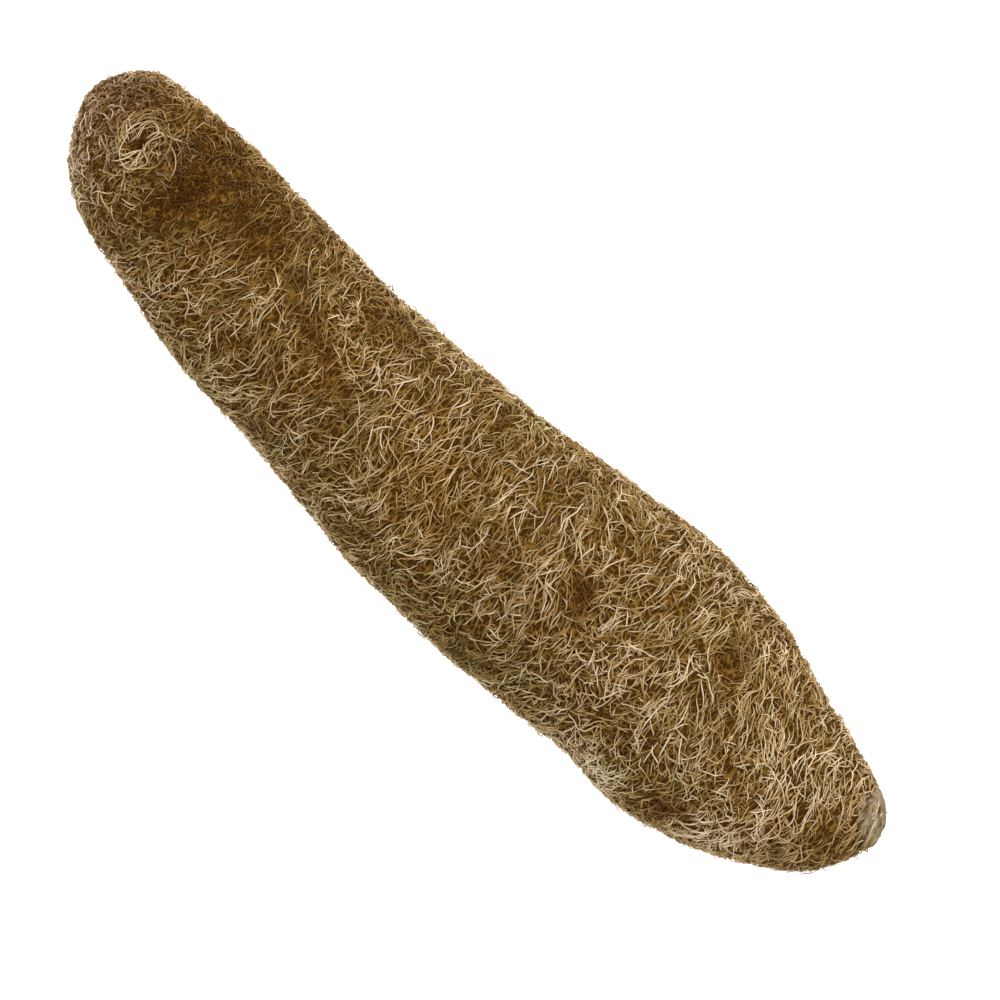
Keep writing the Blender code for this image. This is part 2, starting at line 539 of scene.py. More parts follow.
@dataclass
class FlowField:
    """Which way the strands run over the body: round the girth, leaning and wandering by place.

    Attributes:
        drifts: The patches where they lean another way.
        whorls: The places that they run round.
        tangles: The patches where they are short and run every way.
        wander: How far their lean swings over a large distance, wander_size.
        ripple: How far it swings over a small distance, ripple_size.
        pole_pull: How strongly they are turned across the body's two ends.
        pole_way: The direction that this turns them across, seen along X.
    """

    body: SpongeBody
    drifts: tuple[Drift, ...] = (
        Drift(-0.01, 143, 0.2, 0.015, 22),
        Drift(-0.115, 104, 0.033, 0.018, 18),
        Drift(0.03, 88, 0.065, 0.04, -9),
        Drift(0.124, 84, 0.027, 0.026, -38),
        Drift(0.0485, 86, 0.012, 0.006, -34, turn=-46),
        Drift(-0.03, 232, 0.15, 0.022, -20),
        Drift(0.06, 305, 0.09, 0.026, 16),
    )
    whorls: tuple[Whorl, ...] = (
        Whorl(-0.1445, 80, 0.0085, 0.5),
        Whorl(0.0955, 62, 0.007, 0.7),
        Whorl(0.1132, 141, 0.007, 0.4),
        Whorl(0.09, 235, 0.008, 0.6),
        Whorl(0.07, 330, 0.008, 0.6),
        Whorl(-0.05, 250, 0.009, 0.5),
    )
    tangles: tuple[Patch, ...] = (
        Patch(-0.162, 90, 0.023, 0.2),
        Patch(-0.132, 74, 0.017, 0.019),
        Patch(0.07, 100, 0.018, 0.012),
        Patch(0.059, 86, 0.008, 0.008),
        Patch(0.125, 105, 0.012, 0.012),
        Patch(-0.06, 60, 0.012, 0.01),
    )
    wander: float = 10.0
    wander_size: float = 0.026
    ripple: float = 9.0
    ripple_size: float = 0.01
    pole_pull: float = 0.22
    pole_way: tuple[float, float, float] = (0.0, math.cos(0.6), math.sin(0.6))

    def tangle(self, points: np.ndarray) -> np.ndarray:
        """Says how tangled the strands are.

        Args:
            points: Points of the surface, on the last axis.

        Returns:
            0 where they run with the flow, up to 1 where they run every way.
        """
        angle, half_width = self.body.girth(points)
        shares = [patch.share(points[..., 0], angle, half_width) for patch in self.tangles]
        return np.max(shares, axis=0)

    def direction(self, points: np.ndarray, normals: np.ndarray) -> np.ndarray:
        """Reads the field.

        Args:
            points: Points of the surface, one row each.
            normals: The surface's normals there.

        Returns:
            Unit tangents of the surface, one row each.
        """
        girth = np.cross(normals, np.array([1.0, 0.0, 0.0]))
        steepness = np.linalg.norm(girth, axis=1, keepdims=True)
        girth += self.pole_pull * (1.0 - steepness) * np.cross(normals, np.array(self.pole_way))
        girth = unit(girth)
        along = np.cross(girth, normals)
        angle, half_width = self.body.girth(points)
        lean = self.wander * SmoothNoise(self.wander_size, seed=11).at(points)
        for drift in self.drifts:
            lean += drift.lean * drift.share(points[:, 0], angle, half_width)
        lean += self.ripple * SmoothNoise(self.ripple_size, seed=12).at(points)
        lean = np.radians(lean)[:, None]
        flow = girth * np.cos(lean) + along * np.sin(lean)
        for whorl in self.whorls:
            spokes = points - self.body.place(whorl.x, whorl.girth)
            spokes -= normals * (spokes * normals).sum(axis=1, keepdims=True)
            reach = np.linalg.norm(spokes, axis=1, keepdims=True)
            rim = np.cross(normals, spokes) / np.maximum(reach, TINY)
            rim *= np.where((rim * flow).sum(axis=1, keepdims=True) < 0.0, -1.0, 1.0)
            share = whorl.strength * np.exp(-((reach / whorl.radius) ** 4))
            flow = unit(flow * (1.0 - share) + rim * share)
        return flow


@dataclass
class TintField:
    """The strands' tone and hue by place, with painted shade in the hollows and on the shaded sides.

    Attributes:
        resist: How much of a stain the most stubborn strands resist.
        uptake: How fully the others take it.
        hollow_painted_shade: How much lighter a hollow makes them for each metre of its depth; as it is less
            than nothing, it paints shade there.
        stains_and_painted_shade: The patches of other colours that the body bears; many also darken hollows
            and shaded sides as painted shade.
    """

    body: SpongeBody
    hue_spread: float = 0.05
    hue_size: float = 0.045
    fleck: float = 0.035
    fleck_size: float = 0.01
    tone_spread: float = 0.052
    tone_size: float = 0.022
    clump: float = 0.065
    clump_size: float = 0.0055
    hollow_painted_shade: float = -38.0
    resist: float = 0.8
    uptake: float = 4.5
    stains_and_painted_shade: tuple[StainAndPaintedShade, ...] = (
        # Painted shade of the stem end's shaded side, over a russet tint.
        StainAndPaintedShade(-0.126, 44, 0.027, 0.016, Hue.RUSSET, 0.6, -0.26),
        # Painted shade in the hollow behind the stem scar, over a russet tint.
        StainAndPaintedShade(-0.1262, 91, 0.0058, 0.015, Hue.RUSSET, 0.9, -0.28),
        # Painted shade in the stem end's shaded hollow, over a russet tint.
        StainAndPaintedShade(-0.118, 76, 0.014, 0.011, Hue.RUSSET, 0.6, -0.14),
        # Painted shade of the stem end's shaded side, over a russet tint.
        StainAndPaintedShade(-0.102, 38, 0.02, 0.015, Hue.RUSSET, 0.45, -0.17),
        StainAndPaintedShade(-0.045, 36, 0.016, 0.011, Hue.AMBER, 0.3, -0.16),
        StainAndPaintedShade(-0.158, 96, 0.024, 0.022, Hue.MAUVE, 1.0, 0.0),
        StainAndPaintedShade(-0.17, 90, 0.023, 0.09, Hue.MAUVE, 1.0, 0.0),
        StainAndPaintedShade(-0.156, 134, 0.014, 0.01, Hue.MAUVE, 0.5, 0.06),
        StainAndPaintedShade(-0.156, 56, 0.014, 0.011, Hue.MAUVE, 0.7, -0.2),
        StainAndPaintedShade(-0.135, 68, 0.008, 0.012, Hue.MAUVE, 0.9, -0.08),
        # Painted shade in the stem scar's hole.
        StainAndPaintedShade(-0.1445, 80, 0.0038, 0.0034, Hue.RUSSET, 1.0, -0.5),
        # Painted light along the stem end's lower edge, where light from the floor falls.
        StainAndPaintedShade(-0.145, 158, 0.025, 0.006, Hue.STRAW, 0.4, 0.12),
        # Painted shade of the stem end's shaded side, over an amber tint.
        StainAndPaintedShade(-0.096, 72, 0.018, 0.012, Hue.AMBER, 0.7, -0.23),
        StainAndPaintedShade(-0.136, 118, 0.012, 0.009, Hue.RUSSET, 0.3, -0.1),
        StainAndPaintedShade(-0.04, 76, 0.017, 0.01, Hue.STRAW, 0.2, 0.08),
        # Painted shade in the groove, over a russet tint.
        StainAndPaintedShade(-0.063, 81, 0.024, 0.004, Hue.RUSSET, 0.55, -0.13, turn=-24),
        StainAndPaintedShade(-0.018, 87, 0.038, 0.009, Hue.AMBER, 0.55, 0.0, turn=-28),
        # An olive tint along the lower side, made a little darker there as painted shade.
        StainAndPaintedShade(0.009, 146, 0.08, 0.015, Hue.OLIVE, 0.75, -0.05),
        StainAndPaintedShade(0.123, 63, 0.022, 0.009, Hue.AMBER, 0.6, 0.0),
        StainAndPaintedShade(0.059, 86, 0.0065, 0.0065, Hue.MAUVE, 0.6, 0.1),
        # Painted shade in the pit, over a russet tint.
        StainAndPaintedShade(0.0488, 86, 0.0105, 0.0044, Hue.RUSSET, 1.0, -0.26, turn=-46),
        # Painted shade in the pit, over a russet tint.
        StainAndPaintedShade(0.0955, 62, 0.0055, 0.0055, Hue.RUSSET, 0.8, -0.24),
        # Painted shade in the pit, over a russet tint.
        StainAndPaintedShade(0.1132, 141, 0.01, 0.005, Hue.RUSSET, 0.9, -0.18, turn=40),
        StainAndPaintedShade(0.155, 70, 0.006, 0.005, Hue.STRAW, 0.5, 0.14),
        StainAndPaintedShade(0.128, 66, 0.024, 0.022, Hue.STRAW, 0.2, 0.1),
        StainAndPaintedShade(0.163, 145, 0.013, 0.017, Hue.AMBER, 0.4, -0.28),
        StainAndPaintedShade(0.134, 136, 0.016, 0.012, Hue.STRAW, 0.2, 0.2),
        StainAndPaintedShade(0.105, 112, 0.018, 0.009, Hue.STRAW, 0.2, 0.08),
        StainAndPaintedShade(0.07, 84, 0.045, 0.02, Hue.STRAW, 0.2, 0.11),
        StainAndPaintedShade(0.086, 152, 0.024, 0.012, Hue.STRAW, 0.5, 0.3),
        StainAndPaintedShade(0.134, 156, 0.012, 0.01, Hue.STRAW, 0.3, 0.12),
        StainAndPaintedShade(0.14, 64, 0.012, 0.011, Hue.STRAW, 0.2, 0.12),
        # An olive tint on the lower side, made darker there as painted shade.
        StainAndPaintedShade(0.042, 150, 0.014, 0.01, Hue.OLIVE, 0.6, -0.14),
        StainAndPaintedShade(0.078, 42, 0.02, 0.013, Hue.STRAW, 0.2, 0.07),
        StainAndPaintedShade(0.045, 116, 0.015, 0.009, Hue.AMBER, 0.3, -0.08),
        StainAndPaintedShade(-0.012, 116, 0.018, 0.009, Hue.STRAW, 0.2, 0.07),
        StainAndPaintedShade(0.137, 80, 0.014, 0.011, Hue.STRAW, 0.3, 0.15),
        StainAndPaintedShade(0.0873, 54, 0.005, 0.005, Hue.OLIVE, 0.7, 0.14),
        StainAndPaintedShade(-0.0733, 92, 0.015, 0.009, Hue.STRAW, 0.4, 0.1, turn=-20),
        StainAndPaintedShade(-0.117, 130, 0.024, 0.012, Hue.OLIVE, 0.45, 0.0),
        # Painted shade in the hollows underneath, over russet and amber tints; so with the next three.
        StainAndPaintedShade(-0.02, 205, 0.03, 0.01, Hue.RUSSET, 0.5, -0.1, turn=12),
        StainAndPaintedShade(0.09, 235, 0.01, 0.008, Hue.RUSSET, 0.7, -0.12, turn=30),
        StainAndPaintedShade(-0.1, 300, 0.035, 0.012, Hue.AMBER, 0.6, -0.08, turn=-10),
        StainAndPaintedShade(0.07, 330, 0.011, 0.008, Hue.RUSSET, 0.7, -0.12, turn=-35),
        StainAndPaintedShade(0.04, 270, 0.07, 0.025, Hue.OLIVE, 0.5, -0.04),
    )

    def hue(self, points: np.ndarray, pick: np.ndarray) -> np.ndarray:
        """Reads the hue of strands, as a place along the colour ramps.

        Args:
            points: The points of each strand, one row a strand.
            pick: One draw a strand, from 0 to 1, which says how much of a stain it resists.

        Returns:
            The hue at each point.
        """
        angle, half_width = self.body.girth(points)
        found = Hue.STRAW.value + self.hue_spread * SmoothNoise(self.hue_size, seed=21).at(points)
        found += self.fleck * SmoothNoise(self.fleck_size, seed=22).at(points)
        for stain in self.stains_and_painted_shade:
            share = stain.strength * stain.share(points[..., 0], angle, half_width)
            share = np.clip((share - self.resist * pick) * self.uptake, 0.0, 1.0)
            found = found * (1.0 - share) + stain.hue.value * share
        return found

    def tone(self, points: np.ndarray) -> np.ndarray:
        """Reads how much lighter or darker than usual the strands are, painted shade and light included.

        Args:
            points: The points of each strand, one row a strand.

        Returns:
            What to add to the tone at each point.
        """
        angle, half_width = self.body.girth(points)
        found = self.tone_spread * SmoothNoise(self.tone_size, seed=23).at(points)
        found += self.clump * SmoothNoise(self.clump_size, seed=24).at(points)
        # The stains' shades: real lighter and darker patches, painted shade on hollows and shaded sides, and
        # painted light on an edge.
        for stain in self.stains_and_painted_shade:
            found += stain.shade * stain.share(points[..., 0], angle, half_width)
        # Painted shade: strands are darker in each hollow, the deeper the darker.
        for hollow in self.body.hollows:
            depth = max(hollow.depth, 0.0)
            found += self.hollow_painted_shade * depth * hollow.share(points[..., 0], angle, half_width)
        return found


@dataclass(frozen=True)
class Ground:
    """What strands are laid by: the surface, their course over it and their colours."""

    skin: Skin
    flow: FlowField
    tint: TintField


@dataclass
class StrandLines:
    """Many strands, one row each, with a column for each point along them.

    Attributes:
        places: The point of the surface below or above each point of a strand.
        normals: The surface's normals there.
        headings: The strand's angle to the flow at each point.
        depths: How far under the surface each point lies.
        radii: The strand's radius at each point.
        tones: How light it is at each point, from 0 to 1.
        hues: Its hue at each point, from 0 to 1.
    """

    places: np.ndarray
    normals: np.ndarray
    headings: np.ndarray
    depths: np.ndarray = field(default_factory=lambda: np.empty(0))
    radii: np.ndarray = field(default_factory=lambda: np.empty(0))
    tones: np.ndarray = field(default_factory=lambda: np.empty(0))
    hues: np.ndarray = field(default_factory=lambda: np.empty(0))

    def joined(self, other: "StrandLines") -> "StrandLines":
        """Gives these strands and the other ones, which have as many points each, as one."""
        pairs = ((getattr(self, name), getattr(other, name)) for name in self.__dataclass_fields__)
        return StrandLines(*map(np.concatenate, pairs))


@dataclass(frozen=True)
class StrandFinish:
    """Dry plant fibre: matt, straw or brown by its place, and darker where it lies deep, which is painted
    shade.

    The colour is a plain function of the piece's own map: its u is the strand's tone and its v the hue.

    Attributes:
        roughness: The roughness of the darkest and of the lightest strands.
        specular: The strength of the gloss.
        dark: The colour of the darkest strands of each hue, and so on for the middle and the light.
    """

    name: str
    roughness: Span = (0.85, 0.62)
    specular: float = 0.12
    # The dark colours show mostly on deep and hollow strands, where the tone carries painted shade.
    dark: tuple[Colour, ...] = (
        screen_colour(76, 48, 20), screen_colour(70, 53, 4), screen_colour(80, 51, 3),
        screen_colour(90, 54, 3), screen_colour(76, 36, 3),
    )
    middle: tuple[Colour, ...] = (
        screen_colour(160, 126, 92), screen_colour(155, 129, 69), screen_colour(166, 136, 85),
        screen_colour(171, 133, 75), screen_colour(138, 92, 40),
    )
    light: tuple[Colour, ...] = (
        screen_colour(221, 199, 171), screen_colour(218, 202, 157), screen_colour(230, 210, 178),
        screen_colour(230, 203, 161), screen_colour(200, 160, 106),
    )

    @staticmethod
    def _ramp(nodes: Nodes, hue: bpy.types.NodeSocket, shades: tuple[Colour, ...]) -> bpy.types.NodeSocket:
        """Adds a colour ramp with one stop for each hue.

        Args:
            nodes: The material's nodes.
            hue: The place along the ramp that is read.
            shades: The colour at each stop.

        Returns:
            The ramp's colour.
        """
        colour = nodes.add("ValToRGB", "Color", {"Fac": hue})
        elements = colour.node.color_ramp.elements
        stops = [stop.value for stop in Hue]
        for position in stops[1:-1]:
            elements.new(position)
        for element, position, shade in zip(elements, stops, shades):
            element.position = position
            element.color = shade
        return colour

    def material(self) -> bpy.types.Material:
        """Builds the material.

        Returns:
            A material that reads only the piece's own map.
        """
        made = bpy.data.materials.new(self.name)
        nodes = Nodes(made)
        tone = nodes.add("SeparateXYZ", "X", {"Vector": nodes.add("UVMap", "UV", uv_map=BAKE_MAP)})
        hue = tone.node.outputs["Y"]
        colour = self._ramp(nodes, hue, self.dark)
        for start, shades in ((0.0, self.middle), (0.5, self.light)):
            span = {"Value": tone, "From Min": start, "From Max": start + 0.5}
            share = nodes.add("MapRange", "Result", span)
            colour = nodes.mix(share, colour, self._ramp(nodes, hue, shades))
        dull, smooth = self.roughness
        rough = nodes.add("MapRange", "Result", {"Value": tone, "To Min": dull, "To Max": smooth})
        ends = {"Base Color": colour, "Roughness": rough, "Specular IOR Level": self.specular}
        nodes.put(nodes.end, ends)
        return made


@dataclass
class StrandMesh:
    """Turns centre lines into one mesh of closed three-sided tubes.

    Attributes:
        name: The piece's name.
        floor_gap: How far clear of the table the lowest strands lie.
        floor_stack: How much higher a strand lies on the table for each metre of its depth.
        face_width: How far apart the corners of a face lie on the piece's map.
        face_slant: How far each side's hue is moved on, as a share of that.
        map_span: The least and the most that a place on the map may be.
    """

    name: str
    floor_gap: float = 0.0002
    floor_stack: float = 0.6
    sides: int = 3
    face_width: float = 0.006
    face_slant: float = 0.3
    map_span: Span = (0.004, 0.996)

    def _centres(self, strands: StrandLines) -> np.ndarray:
        """Works out where the strands' middles run.

        Args:
            strands: The strands.

        Returns:
            Their points, pressed up where they would enter the table.
        """
        centres = strands.places - strands.normals * strands.depths[..., None]
        lowest = strands.radii + self.floor_gap + self.floor_stack * np.maximum(strands.depths, 0.0)
        centres[..., 2] = np.maximum(centres[..., 2], lowest)
        return centres

    def build(self, strands: StrandLines) -> bpy.types.Object:
        """Builds the piece.

        Args:
            strands: The strands.

        Returns:
            The object.
        """
        centres = self._centres(strands)
        count, steps, _ = centres.shape
        tangents = unit(np.gradient(centres, axis=1))
        across = unit(np.cross(tangents, strands.normals))
        upward = np.cross(across, tangents)
        second = np.cross(tangents, upward)
        turns = FULL_TURN * np.arange(self.sides) / self.sides
        ring = upward[:, :, None] * np.cos(turns)[:, None] + second[:, :, None] * np.sin(turns)[:, None]
        points = centres[:, :, None] + ring * strands.radii[:, :, None, None]
        number = np.arange(count * steps * self.sides).reshape(count, steps, self.sides)
        after = np.roll(number, -1, axis=2)
        walls = np.stack([number[:, :-1], after[:, :-1], after[:, 1:], number[:, 1:]], axis=-1)
        caps = np.concatenate([number[:, 0, ::-1], number[:, -1]])
        corners = np.concatenate([walls.ravel(), caps.ravel()])
        sizes = np.concatenate([np.full(walls.size // 4, 4), np.full(len(caps), self.sides)])
        mesh = bpy.data.meshes.new(self.name)
        mesh.vertices.add(points.size // 3)
        mesh.vertices.foreach_set("co", points.astype(np.float32).ravel())
        mesh.loops.add(len(corners))
        mesh.loops.foreach_set("vertex_index", corners.astype(np.int32))
        mesh.polygons.add(len(sizes))
        mesh.polygons.foreach_set("loop_start", np.concatenate([[0], np.cumsum(sizes)[:-1]]).astype(np.int32))
        mesh.update(calc_edges=True)
        mesh.shade_smooth()
        self._map(mesh, strands, corners)
        mesh.materials.append(StrandFinish(self.name + "_finish").material())
        piece = bpy.data.objects.new(self.name, mesh)
        bpy.context.scene.collection.objects.link(piece)
        return piece

    def _map(self, mesh: bpy.types.Mesh, strands: StrandLines, corners: np.ndarray) -> None:
        """Gives the mesh the map that its colours are read from.

        Args:
            mesh: The mesh.
            strands: The strands, with their tones and hues.
            corners: The vertex at each corner of each face.
        """
        side = np.arange(self.sides)
        step = np.arange(strands.tones.shape[1]) % 2
        tone = strands.tones[:, :, None] + self.face_width * (side - 1)
        hue = strands.hues[:, :, None] + self.face_width * (step[:, None] + side * self.face_slant)
        flat = np.stack([tone, hue], axis=-1).reshape(-1, 2).clip(*self.map_span)
        layer = mesh.uv_layers.new(name=BAKE_MAP)
        layer.data.foreach_set("uv", flat[corners].astype(np.float32).ravel())


@dataclass
class StrandLayer:
    """One depth of the woven net.

    Attributes:
        name: The piece's name.
        trunks: How many strands start by themselves.
        forks: How many more leave one of those.
        steps: The points along a strand.
        length: The shortest and the longest strand.
        depth: How far under the surface their middles lie, at least and at most.
        dip: How much deeper their ends lie.
        radius: The thinnest and the thickest strand's radius.
        stray: How far their headings spread round the flow.
        wave: How far their headings swing along them.
        tone: Their tones, from the deepest to the shallowest: darker the deeper they lie, as painted shade.
        side_calm: How much less they stray and swing on the body's sides.
        tufts: The places where they stand thickest.
        dip_painted_shade: How much darker they are for each metre that they dip, as painted shade.
        wave_share: How much of the wave each strand takes, at least and at most.
        weave_turns: How often each one weaves up and down, at least and at most.
        bow: How sharply a strand bends down to its ends, or up from its root if it is loose.
        root_bow: How sharply a loose strand's root bends down, and so on for forks and tapers.
    """

    name: str
    trunks: int
    forks: int
    steps: int
    length: Span
    depth: Span
    dip: float
    radius: Span
    stray: float
    wave: float
    tone: Span
    seed: int
    lay: Lay = Lay.WOVEN
    tone_spread: float = 0.10
    hue_spread: float = 0.05
    weave: float = 0.00028
    wave_length: Span = (0.006, 0.015)
    fork_angle: Span = (22.0, 62.0)
    fork_length: float = 0.55
    kink: float = 20.0
    kink_chance: float = 0.18
    side_calm: float = 0.2
    tangled_stray: float = 50.0
    tangled_length: float = 0.48
    tufts: tuple[Patch, ...] = ()
    tuft_crowd: float = 25.0
    dip_painted_shade: float = 230.0
    end_taper: float = 0.55
    wave_share: Span = (0.4, 1.4)
    weave_turns: Span = (1.0, 2.6)
    bow: float = 1.6
    root_bow: int = 6
    fork_bow: float = 2.5
    taper_bow: int = 3

    def build(self, ground: Ground) -> bpy.types.Object:
        """Weaves the layer.

        Args:
            ground: What the strands are laid by.

        Returns:
            The piece.
        """
        skin, flow = ground.skin, ground.flow
        draw = np.random.default_rng(self.seed)
        middles = skin.points[skin.faces].mean(axis=1)
        crowd = 1.0 / (1.0 + (self.tangled_length - 1.0) * flow.tangle(middles))
        angle, half_width = flow.body.girth(middles)
        for tuft in self.tufts:
            crowd += self.tuft_crowd * tuft.share(middles[:, 0], angle, half_width)
        starts = skin.scatter(self.trunks, crowd, draw)
        stray = self.stray + self.tangled_stray * flow.tangle(starts)
        headings = np.radians(stray * draw.normal(0.0, 1.0, self.trunks))
        headings += math.pi * draw.integers(0, 2, self.trunks)
        strands = self._trace(ground, starts, headings, 1.0, draw)
        base = draw.uniform(*self.depth, self.trunks)[:, None]
        share = np.linspace(0.0, 1.0, self.steps)[None, :]
        if self.lay is Lay.LOOSE:
            free = draw.random((self.trunks, 1)) < 0.5
            rise = np.where(free, share**self.bow, np.sin(math.pi * share))
            strands.depths = base * rise + self.dip * (1.0 - share) ** self.root_bow
        else:
            strands.depths = base + self.dip * (1.0 - np.sin(math.pi * share)) ** self.bow
        self._finish(strands, base, ground.tint, draw)
        if self.forks:
            strands = strands.joined(self._forked(ground, strands, draw))
        return StrandMesh(self.name).build(strands)

    def _trace(
        self,
        ground: Ground,
        starts: np.ndarray,
        headings: np.ndarray,
        stretch: float,
        draw: np.random.Generator,
    ) -> StrandLines:
        """Follows the flow from each start, with each strand's own swings.

        Args:
            ground: What the strands are laid by.
            starts: Where they start.
            headings: Each one's angle to the flow at its start.
            stretch: How long they are, as a share of the layer's usual length.
            draw: The random draws.

        Returns:
            The strands' places, normals and headings.
        """
        skin, flow = ground.skin, ground.flow
        count = len(starts)
        lengths = stretch * draw.uniform(*self.length, count)
        lengths *= 1.0 + (self.tangled_length - 1.0) * flow.tangle(starts)
        step = (lengths / (self.steps - 1))[:, None]
        swing = np.radians(self.wave) * draw.uniform(*self.wave_share, count)
        rate = FULL_TURN / draw.uniform(*self.wave_length, count)
        phase = draw.uniform(0.0, FULL_TURN, count)
        kinks = np.radians(self.kink) * draw.normal(0.0, 1.0, (count, self.steps))
        kinks = np.cumsum(kinks * (draw.random((count, self.steps)) < self.kink_chance), axis=1)
        straight = math.pi * np.round(headings / math.pi)
        points, normals = skin.nearest(starts)
        places, ups, turns = [], [], []
        for number in range(self.steps):
            gone = step[:, 0] * number
            turn = headings + swing * (np.sin(rate * gone + phase) - np.sin(phase)) + kinks[:, number]
            calm = 1.0 - self.side_calm * (1.0 - normals[:, 2] ** 2) * (1.0 - flow.tangle(points))
            turn = straight + (turn - straight) * calm
            places.append(points)
            ups.append(normals)
            turns.append(turn)
            if number == self.steps - 1:
                break
            ahead = flow.direction(points, normals)
            aside = np.cross(normals, ahead)
            way = ahead * np.cos(turn)[:, None] + aside * np.sin(turn)[:, None]
            points, normals = skin.nearest(points + way * step)
        return StrandLines(np.stack(places, 1), np.stack(ups, 1), np.stack(turns, 1))

    def _forked(self, ground: Ground, trunks: StrandLines, draw: np.random.Generator) -> StrandLines:
        """Grows strands that leave others at a narrow angle.

        Args:
            ground: What the strands are laid by.
            trunks: The strands that they leave.
            draw: The random draws.

        Returns:
            The forks.
        """
        parent = draw.integers(0, len(trunks.places), self.forks)
        at = draw.integers(1, self.steps - 2, self.forks)
        side = draw.choice([-1.0, 1.0], self.forks)
        headings = trunks.headings[parent, at] + side * np.radians(draw.uniform(*self.fork_angle, self.forks))
        strands = self._trace(ground, trunks.places[parent, at], headings, self.fork_length, draw)
        base = trunks.depths[parent, at][:, None]
        share = np.linspace(0.0, 1.0, self.steps)[None, :]
        strands.depths = base + self.dip * share**self.fork_bow
        self._finish(strands, base, ground.tint, draw)
        return strands

    def _finish(
        self, strands: StrandLines, base: np.ndarray, tint: TintField, draw: np.random.Generator
    ) -> None:
        """Gives strands their weave, thickness, tones and hues.

        Args:
            strands: The strands, with their depths.
            base: How deep each one's middle lies.
            tint: Their colours by place.
            draw: The random draws.
        """
        row = (len(strands.places), 1)
        share = np.linspace(0.0, 1.0, self.steps)[None, :]
        phase = draw.uniform(0.0, FULL_TURN, row)
        turns = draw.uniform(*self.weave_turns, row)
        strands.depths = strands.depths + self.weave * np.sin(FULL_TURN * turns * share + phase)
        taper = 1.0 - self.end_taper * (1.0 - np.sin(math.pi * share)) ** self.taper_bow
        strands.radii = draw.uniform(*self.radius, row) * taper
        # Painted shade: the deeper a strand's middle lies, and the deeper its ends dip, the darker its tone.
        low, high = self.depth
        shallow = 1.0 - (base - low) / max(high - low, TINY)
        tone = self.tone[0] + (self.tone[1] - self.tone[0]) * np.clip(shallow, 0.0, 1.0)
        tone = tone + draw.normal(0.0, self.tone_spread, row) + tint.tone(strands.places)
        tone = tone - self.dip_painted_shade * np.maximum(strands.depths - base, 0.0)
        strands.tones = np.clip(tone, 0.0, 1.0)
        pick = draw.random(row)
        strands.hues = tint.hue(strands.places, pick) + draw.normal(0.0, self.hue_spread, row)


@dataclass(frozen=True)
class PaintedShadeBedFinish:
    """The mass of fibre that shows between the strands, itself a finer net, painted dark for the shade deep
    among them.

    Attributes:
        deep: The colour of its cells, a painted shade.
        pale: The colour of the fibres between them.
        cells: How many cells it has to a metre along X.
        stretch: How many it has round the girth, as a share of that.
        fibre: How wide its fibres are, as a share of a cell.
        bump: How far its fibres stand out.
    """

    deep: Colour = screen_colour(58, 33, 0)
    pale: Colour = screen_colour(120, 85, 30)
    cells: float = 760.0
    stretch: float = 0.4
    fibre: float = 0.2
    bump: float = 0.0007
    roughness: float = 0.95
    specular: float = 0.1

    def material(self) -> bpy.types.Material:
        """Builds the material.

        Returns:
            A material on Object coordinates, stretched round the girth.
        """
        made = bpy.data.materials.new("fibre_bed_finish")
        nodes = Nodes(made)
        place = {"Vector": nodes.add("TexCoord", "Object"), "Scale": (1.0, self.stretch, self.stretch)}
        cells = {"Vector": nodes.add("Mapping", "Vector", place), "Scale": self.cells}
        edge = nodes.add("TexVoronoi", "Distance", cells, feature="DISTANCE_TO_EDGE")
        span = {"Value": edge, "From Max": self.fibre, "To Min": 1.0, "To Max": 0.0}
        height = nodes.add("MapRange", "Result", span, interpolation_type="SMOOTHSTEP")
        # Painted shade: the dark cells stand in for the shade deep among the strands.
        ends = {"Base Color": nodes.mix(height, self.deep, self.pale), "Roughness": self.roughness}
        ends |= {"Normal": nodes.bump(height, self.bump), "Specular IOR Level": self.specular}
        nodes.put(nodes.end, ends)
        return made


@dataclass
class FibreBed:
    """The packed fibres under the woven layers, as one closed form, whose dark colour is painted shade.

    Attributes:
        sink: How far it lies under the outer surface.
        floor_gap: How far clear of the table it lies.
    """

    name: str = "fibre_bed"
    sink: float = 0.001
    segments: int = 88
    rings: int = 220
    lump: float = 0.00025
    lump_size: float = 0.004
    floor_gap: float = 0.0012

    def build(self, body: SpongeBody) -> bpy.types.Object:
        """Builds the piece.

        Args:
            body: The body that it fills.

        Returns:
            The object.
        """
        piece = body.form(self.name, self.segments, self.rings, self.sink)
        points = gather(piece.data, "co")
        lumps = self.lump * SmoothNoise(self.lump_size, seed=31).at(points)
        points += gather(piece.data, "normal") * lumps[:, None]
        points[:, 2] = np.maximum(points[:, 2], self.floor_gap)
        move(piece.data, points)
        piece.data.shade_smooth()
        piece.data.materials.append(PaintedShadeBedFinish().material())
        return piece


